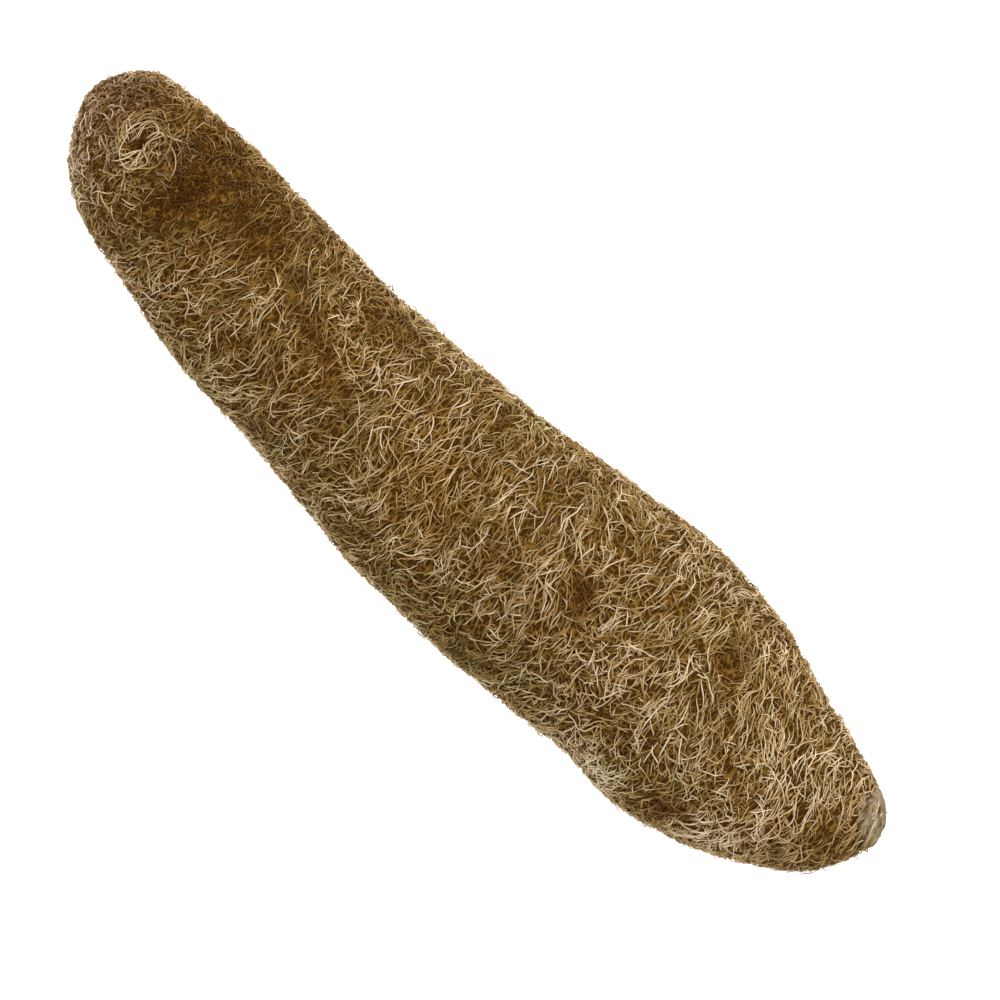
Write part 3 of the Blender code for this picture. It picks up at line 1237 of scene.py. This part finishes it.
@dataclass
class StemScar:
    """The pale strands that part round a dark hole, where the stem was, like grain round a knot.

    Attributes:
        x: The hole's place along X.
        girth: Its place round the girth.
        reach: The nearest and the farthest strand's distance from the hole's middle, at its long ends.
        crest: Where between them the strands stand highest, and how high.
        oval: How narrow the loops are, at least and at most, as a share of their length.
        lean: How far their long way is turned from the girth, either way.
        shift: How far round the hole a strand's middle lies from the hole's two long sides.
        crowding: How strongly the loops crowd towards the hole.
        drift: How far a loop opens along its length, as a share of the slip. So with the ripple.
        ripples: How many ripples a whole loop has.
        side_reach: How much farther from the hole a strand counts as lying at its sides.
        side_slip: How much of the slip a strand has across the hole.
        level_painted_shade: How much darker a strand is for each metre of its depth, as painted shade.
    """

    x: float = -0.1445
    girth: float = 80.0
    count: int = 46
    steps: int = 11
    reach: Span = (0.0045, 0.0105)
    crest: Span = (0.0058, 0.0009)
    crest_width: float = 0.003
    oval: Span = (0.40, 1.00)
    lean: float = 40.0
    slip: float = 0.001
    shift: float = 50.0
    sweep: Span = (35.0, 95.0)
    radius: Span = (0.00020, 0.00034)
    spread: float = 0.0009
    pale: Span = (0.50, 0.30)
    seed: int = 91
    crowding: float = 1.3
    drift: float = 4.0
    ripple: float = 0.6
    ripples: float = 4.0
    side_reach: float = 1.5
    side_slip: float = 0.4
    taper: float = 0.5
    tone_spread: float = 0.11
    hue_spread: float = 0.08
    level_painted_shade: float = 180.0
    dip_painted_shade: float = 0.2

    def build(self, body: SpongeBody, skin: Skin) -> bpy.types.Object:
        """Builds the piece.

        Args:
            body: The body that the scar is on.
            skin: Its surface.

        Returns:
            The object.
        """
        draw = np.random.default_rng(self.seed)
        centre, up = (found[0] for found in skin.nearest(body.place(self.x, self.girth)[None, :]))
        side = unit(np.cross(np.array([0.0, 1.0, 0.0]), up))
        ahead = np.cross(up, side)
        share = np.linspace(0.0, 1.0, self.steps)[None, :]
        reach, along, across = self._loops(draw, share)
        points = centre + across[..., None] * side + along[..., None] * ahead
        places, normals = skin.nearest(points.reshape(-1, 3))
        strands = StrandLines(places.reshape(points.shape), normals.reshape(points.shape), reach)
        row = (self.count, 1)
        crest_at, crest_height = self.crest
        mound = np.exp(-(((reach - crest_at) / self.crest_width) ** 2))
        level = draw.uniform(0.0, self.spread, row)
        dip = (1.0 - np.sin(math.pi * share)) ** 2
        strands.depths = level - crest_height * mound + self.spread * dip
        strands.radii = draw.uniform(*self.radius, row) * (1.0 - self.taper * dip)
        low, rise = self.pale
        # Painted shade: strands that lie deeper, and their dipping ends, are darker.
        shade = draw.normal(0.0, self.tone_spread, row) - self.level_painted_shade * level
        strands.tones = np.clip(low + rise * mound + shade - self.dip_painted_shade * dip, 0.0, 1.0)
        strands.hues = np.full_like(reach, Hue.STRAW.value) + draw.normal(0.0, self.hue_spread, row)
        return StrandMesh("stem_scar").build(strands)

    def _loops(self, draw: np.random.Generator, share: np.ndarray) -> tuple[np.ndarray, ...]:
        """Draws parts of uneven loops round the hole.

        Args:
            draw: The random draws.
            share: How far along a strand each of its points lies, from 0 to 1.

        Returns:
            Each point's reach, and its places along the girth and along X from the hole's middle.
        """
        row = (self.count, 1)
        near, far = self.reach
        middle = draw.choice([-0.5, 0.5], row) * math.pi + np.radians(draw.normal(0.0, self.shift, row))
        turn = middle + np.radians(draw.uniform(*self.sweep, row)) * (share - 0.5)
        drift = np.abs(draw.normal(0.0, self.drift * self.slip, row))
        reach = near + (far - near) * draw.random(row) ** self.crowding + drift * share
        reach = reach + self.ripple * self.slip * np.sin(self.ripples * turn + middle)
        lean = np.radians(draw.uniform(-self.lean, self.lean, row))
        long_way = reach * np.cos(turn)
        short_way = reach * np.sin(turn) * draw.uniform(*self.oval, row)
        along = long_way * np.cos(lean) - short_way * np.sin(lean) + draw.normal(0.0, self.slip, row)
        across = long_way * np.sin(lean) + short_way * np.cos(lean)
        across += draw.normal(0.0, self.slip, row) * self.side_slip
        return np.hypot(long_way, short_way * self.side_reach), along, across


@dataclass(frozen=True)
class PaperFinish:
    """The dry papery skin left at the blossom end: grey beige, browner at its torn edge and its cracks.

    Attributes:
        mottle: How many patches of the two colours it has to a metre.
        crease: How many creases it has to a metre.
    """

    pale: Colour = screen_colour(168, 149, 119)
    grey: Colour = screen_colour(80, 64, 43)
    worn: Colour = screen_colour(64, 40, 16)
    mottle: float = 420.0
    crease: float = 900.0
    bump: float = 0.0005
    roughness: float = 0.8
    specular: float = 0.25
    detail: float = 4.0

    def material(self) -> bpy.types.Material:
        """Builds the material.

        Returns:
            A material on Object coordinates and the piece's wear attribute.
        """
        made = bpy.data.materials.new("blossom_scar_finish")
        nodes = Nodes(made)
        place = nodes.add("TexCoord", "Object")
        mottled, creased = (
            nodes.add("TexNoise", "Fac", {"Vector": place, "Scale": scale, "Detail": self.detail})
            for scale in (self.mottle, self.crease)
        )
        wear = nodes.add("Attribute", "Fac", attribute_name="wear")
        colour = nodes.mix(wear, nodes.mix(mottled, self.grey, self.pale), self.worn)
        ends = {"Base Color": colour, "Roughness": self.roughness, "Specular IOR Level": self.specular}
        nodes.put(nodes.end, ends | {"Normal": nodes.bump(creased, self.bump)})
        return made


@dataclass
class BlossomScar:
    """The papery patch that caps the blossom end, with a torn edge and cracks.

    Attributes:
        radius: How far it reaches from its middle.
        facing: The direction it faces.
        lift: How far its middle stands over the sponge's outer surface, whose strands its edge dips under.
        edge_waves: How many waves its torn edge has, and how high, several times over.
        rim_start: Where its rim starts, as a share of the radius.
        grain: How much shorter its wrinkles are drawn along the cracks, which makes them long there.
        cracks: Each crack's height over the middle and its two ends, as shares of the radius.
        blotch: How strongly its wear varies from place to place, out to blotch_limit either way.
        wear: How worn its rim, its blotches and its cracks are.
        root: How far inside the tip the patch is cast from, as a share of the radius.
        cast: How far out from there it is cast onto the surface, likewise.
        crack_bends: How fast a crack winds along its length.
        crack_taper: How sharply a crack ends.
    """

    name: str = "blossom_scar"
    radius: float = 0.0118
    facing: tuple[float, float, float] = (0.90, 0.40, 0.20)
    cells: int = 46
    thickness: float = 0.0003
    lift: float = 0.00015
    edge_dip: float = 0.0006
    edge_waves: tuple[tuple[int, float], ...] = ((3, 0.05), (7, 0.04), (13, 0.03), (23, 0.02))
    rim_start: float = 0.62
    wrinkle: float = 0.00038
    wrinkle_size: float = 0.0018
    grain: float = 0.3
    cracks: tuple[tuple[float, float, float], ...] = (
        (0.74, -0.55, 0.25), (0.52, -0.20, 0.45), (0.30, -0.75, -0.30), (-0.20, -0.40, 0.40),
    )
    crack_width: float = 0.065
    crack_depth: float = 0.0011
    blotch: float = 0.9
    blotch_limit: float = 0.5
    wear: tuple[float, float, float] = (1.3, 0.9, 1.1)
    root: float = 1.9
    cast: float = 1.6
    crack_bends: float = 11.0
    crack_taper: float = 6.0

    def build(self, body: SpongeBody, skin: Skin) -> bpy.types.Object:
        """Builds the piece.

        Args:
            body: The body that it caps.
            skin: Its surface.

        Returns:
            The object.
        """
        facing = unit(np.array(self.facing))
        inside = body.points(np.array([body.along[-1]]), np.array([0.0]))[0]
        inside = inside - np.array([self.radius * self.root, 0.0, 0.0])
        grid = bpy.ops.mesh.primitive_grid_add
        piece = plain_mesh(self.name, grid, x_subdivisions=self.cells, y_subdivisions=self.cells, size=2.0)
        square = gather(piece.data, "co")[:, :2]
        disc = square * np.sqrt(1.0 - square[:, ::-1] ** 2 / 2.0)
        reach = np.linalg.norm(disc, axis=1)
        turn = np.arctan2(disc[:, 1], disc[:, 0])
        torn = 1.0 + sum(size * np.sin(waves * turn + waves) for waves, size in self.edge_waves)
        side = unit(np.cross(np.array([0.0, 0.0, 1.0]), facing))
        up = np.cross(facing, side)
        flat = (disc[:, :1] * side + disc[:, 1:] * up) * (self.radius * torn)[:, None]
        places, normals = skin.nearest(inside + facing * self.radius * self.cast + flat)
        rim = np.clip((reach - self.rim_start) / (1.0 - self.rim_start), 0.0, 1.0)
        crack = self._crack(disc)
        drawn = np.stack([disc[:, 0] * self.grain, disc[:, 1], 0.0 * reach], axis=1) * self.radius
        height = self.lift + self.wrinkle * SmoothNoise(self.wrinkle_size, seed=41).at(drawn)
        height = height - self.edge_dip * rim**2 - self.crack_depth * crack
        move(piece.data, places + normals * height[:, None])
        wear = piece.data.attributes.new("wear", "FLOAT", "POINT")
        limit = self.blotch_limit
        blotch = self.blotch * SmoothNoise(self.wrinkle_size, seed=43).at(drawn)
        blotch = np.clip(blotch, -limit, limit)
        on_rim, on_blotch, on_crack = self.wear
        worn = on_rim * rim * (limit + blotch) + on_blotch * np.maximum(blotch, 0.0) + on_crack * crack
        worn = np.clip(worn, 0.0, 1.0)
        wear.data.foreach_set("value", worn.astype(np.float32))
        wall = piece.modifiers.new("wall", "SOLIDIFY")
        wall.thickness = self.thickness
        wall.offset = -1.0
        bpy.ops.object.modifier_apply(modifier=wall.name)
        piece.data.shade_smooth()
        piece.data.materials.append(PaperFinish().material())
        return piece

    def _crack(self, disc: np.ndarray) -> np.ndarray:
        """Says how far points of the patch lie in its cracks.

        Args:
            disc: Their places on the patch, as shares of its radius.

        Returns:
            1 in the middle of a crack, falling to 0 outside it.
        """
        found = np.zeros(len(disc))
        for height, start, end in self.cracks:
            path = height + self.crack_width * np.sin(self.crack_bends * disc[:, 0] + height)
            off = (disc[:, 1] - path) / self.crack_width
            ends = np.minimum(disc[:, 0] - start, end - disc[:, 0])
            found = np.maximum(found, np.exp(-(off**2)) * np.clip(self.crack_taper * ends, 0.0, 1.0))
        return found


@dataclass
class Studio:
    """The pale floor, the soft lights and the camera that looks down on the sponge.

    Attributes:
        roll: How far the picture is turned from the sponge's own axes.
        aim: The point of the table that the picture's middle shows.
        frame_width: How much the picture shows from side to side, at the outline's height.
        outline_height: How high over the table the sponge's outline lies.
        sky: The strength of the light from below and from overhead.
        key_place: Where the key lamp hangs: right, up and near in the picture. So with the fill lamp.
    """

    roll: float = 43.75
    aim: Span = (0.011, 0.0058)
    frame_width: float = 0.313
    outline_height: float = 0.04
    distance: float = 1.4
    sensor: float = 36.0
    floor_size: float = 6.0
    floor_colour: Colour = (0.90, 0.90, 0.90, 1.0)
    floor_glow: float = 0.55
    floor_roughness: float = 0.9
    floor_specular: float = 0.1
    view_depth: float = 20.0
    sky: Span = (0.68, 1.12)
    key_power: float = 26.0
    key_place: tuple[float, float, float] = (0.75, 0.95, 1.5)
    fill_power: float = 3.0
    fill_place: tuple[float, float, float] = (-1.0, -0.5, 1.3)
    lamp_size: float = 0.9

    def build(self) -> None:
        """Makes the floor, the lights, the sky and the camera."""
        self._floor()
        self._sky()
        self._lamp("key", self.key_place, self.key_power)
        self._lamp("fill", self.fill_place, self.fill_power)
        self._camera()

    def _floor(self) -> None:
        """Lays the floor under the sponge, a white sheet with a little light behind it."""
        floor = plain_mesh("floor", bpy.ops.mesh.primitive_plane_add, size=self.floor_size)
        paint = bpy.data.materials.new("floor_paint")
        nodes = Nodes(paint)
        nodes.put(nodes.end, {"Base Color": self.floor_colour, "Roughness": self.floor_roughness})
        nodes.put(nodes.end, {"Specular IOR Level": self.floor_specular})
        nodes.put(nodes.end, {"Emission Color": WHITE, "Emission Strength": self.floor_glow})
        floor.data.materials.append(paint)

    def _sky(self) -> None:
        """Lights the scene from all round, and most from overhead."""
        world = bpy.data.worlds.new("studio_sky")
        nodes = Nodes(world, "Background")
        up = nodes.add("SeparateXYZ", "Z", {"Vector": nodes.add("TexCoord", "Generated")})
        low, high = self.sky
        strength = nodes.add("MapRange", "Result", {"Value": up, "To Min": low, "To Max": high})
        nodes.put(nodes.end, {"Color": WHITE, "Strength": strength})
        bpy.context.scene.world = world

    def _lamp(self, name: str, place: tuple[float, float, float], power: float) -> None:
        """Hangs a soft lamp that shines on the sponge.

        Args:
            name: The lamp's name.
            place: Where it hangs: right, up and near in the picture.
            power: Its power in watts.
        """
        data = bpy.data.lights.new(name, "AREA")
        data.energy = power
        data.size = self.lamp_size
        lamp = bpy.data.objects.new(name, data)
        right, up, near = place
        turn = math.radians(self.roll)
        x = self.aim[0] + right * math.cos(turn) - up * math.sin(turn)
        y = self.aim[1] + right * math.sin(turn) + up * math.cos(turn)
        lamp.location = (x, y, near)
        aim = Vector((*self.aim, self.outline_height))
        lamp.rotation_euler = (aim - lamp.location).to_track_quat("-Z", "Y").to_euler()
        bpy.context.scene.collection.objects.link(lamp)

    def _camera(self) -> None:
        """Sets the camera straight above, turned so that the sponge runs down to the right."""
        data = bpy.data.cameras.new("camera")
        data.sensor_width = self.sensor
        data.lens = self.sensor * self.distance / self.frame_width
        data.clip_end = self.view_depth
        camera = bpy.data.objects.new("camera", data)
        camera.location = (*self.aim, self.outline_height + self.distance)
        camera.rotation_euler = (0.0, 0.0, math.radians(self.roll))
        bpy.context.scene.collection.objects.link(camera)
        bpy.context.scene.camera = camera
        bpy.context.scene.view_settings.view_transform = "Standard"


@dataclass
class Loofah:
    """The whole sponge: its bed, its woven layers, its scars and its loose strands."""

    body: SpongeBody = field(default_factory=SpongeBody)
    skin_segments: int = 96
    skin_rings: int = 260
    # The layers' tones darken with depth, from the upper strands to the deep ones: painted shade.
    layers: tuple[StrandLayer, ...] = (
        StrandLayer(
            "strands_deep", 3000, 850, 6, (0.008, 0.014), (0.0007, 0.0014), 0.0002,
            (0.00026, 0.00038), 20.0, 12.0, (0.16, 0.34), seed=101,
        ),
        StrandLayer(
            "strands_low", 3300, 1900, 7, (0.007, 0.013), (0.0003, 0.0011), 0.0006,
            (0.00020, 0.00031), 14.0, 11.0, (0.29, 0.47), seed=102,
        ),
        StrandLayer(
            "strands_middle", 3250, 1950, 7, (0.007, 0.014), (0.0001, 0.0007), 0.0008,
            (0.00018, 0.00029), 11.0, 11.0, (0.38, 0.56), seed=103,
        ),
        StrandLayer(
            "strands_upper", 2350, 1600, 9, (0.007, 0.016), (-0.0001, 0.0003), 0.0011,
            (0.00017, 0.00027), 10.0, 10.0, (0.57, 0.80), seed=104, tone_spread=0.14,
        ),
        StrandLayer(
            "strands_fine", 5200, 1500, 5, (0.0028, 0.0065), (-0.0001, 0.0007), 0.0005,
            (0.00012, 0.00020), 52.0, 14.0, (0.45, 0.75), seed=105,
        ),
        StrandLayer(
            "strands_loose", 340, 0, 10, (0.004, 0.010), (-0.0011, -0.0003), 0.0008,
            (0.00012, 0.00020), 34.0, 26.0, (0.50, 0.74), seed=106, lay=Lay.LOOSE, tufts=(
                Patch(-0.0616, 14, 0.005, 0.006), Patch(-0.0427, 14, 0.004, 0.006),
                Patch(-0.0206, 14, 0.003, 0.005), Patch(0.139, 168, 0.002, 0.005),
                Patch(0.166, 200, 0.003, 0.006),
            ),
        ),
    )

    def build(self) -> list[bpy.types.Object]:
        """Builds every piece of the sponge.

        Returns:
            The pieces, the bed first.
        """
        skin = Skin(self.body.form("skin", self.skin_segments, self.skin_rings, 0.0))
        ground = Ground(skin, FlowField(self.body), TintField(self.body))
        pieces = [FibreBed().build(self.body)]
        pieces += [layer.build(ground) for layer in self.layers]
        pieces.append(StemScar().build(self.body, skin))
        pieces.append(BlossomScar().build(self.body, skin))
        return pieces


def dress(piece: bpy.types.Object) -> None:
    """Makes a piece ride on the sponge's body, and reports it.

    Args:
        piece: The piece.
    """
    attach(piece, BODY)
    piece.data.calc_loop_triangles()
    LOG.info("%s: %d triangles", piece.name, len(piece.data.loop_triangles))


def main() -> None:
    """Builds the sponge and the studio."""
    logging.basicConfig(level=logging.INFO, format="%(name)s %(message)s")
    pieces = Loofah().build()
    for piece in pieces:
        dress(piece)
    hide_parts(NODE)
    Studio().build()


if __name__ == "__main__":
    main()
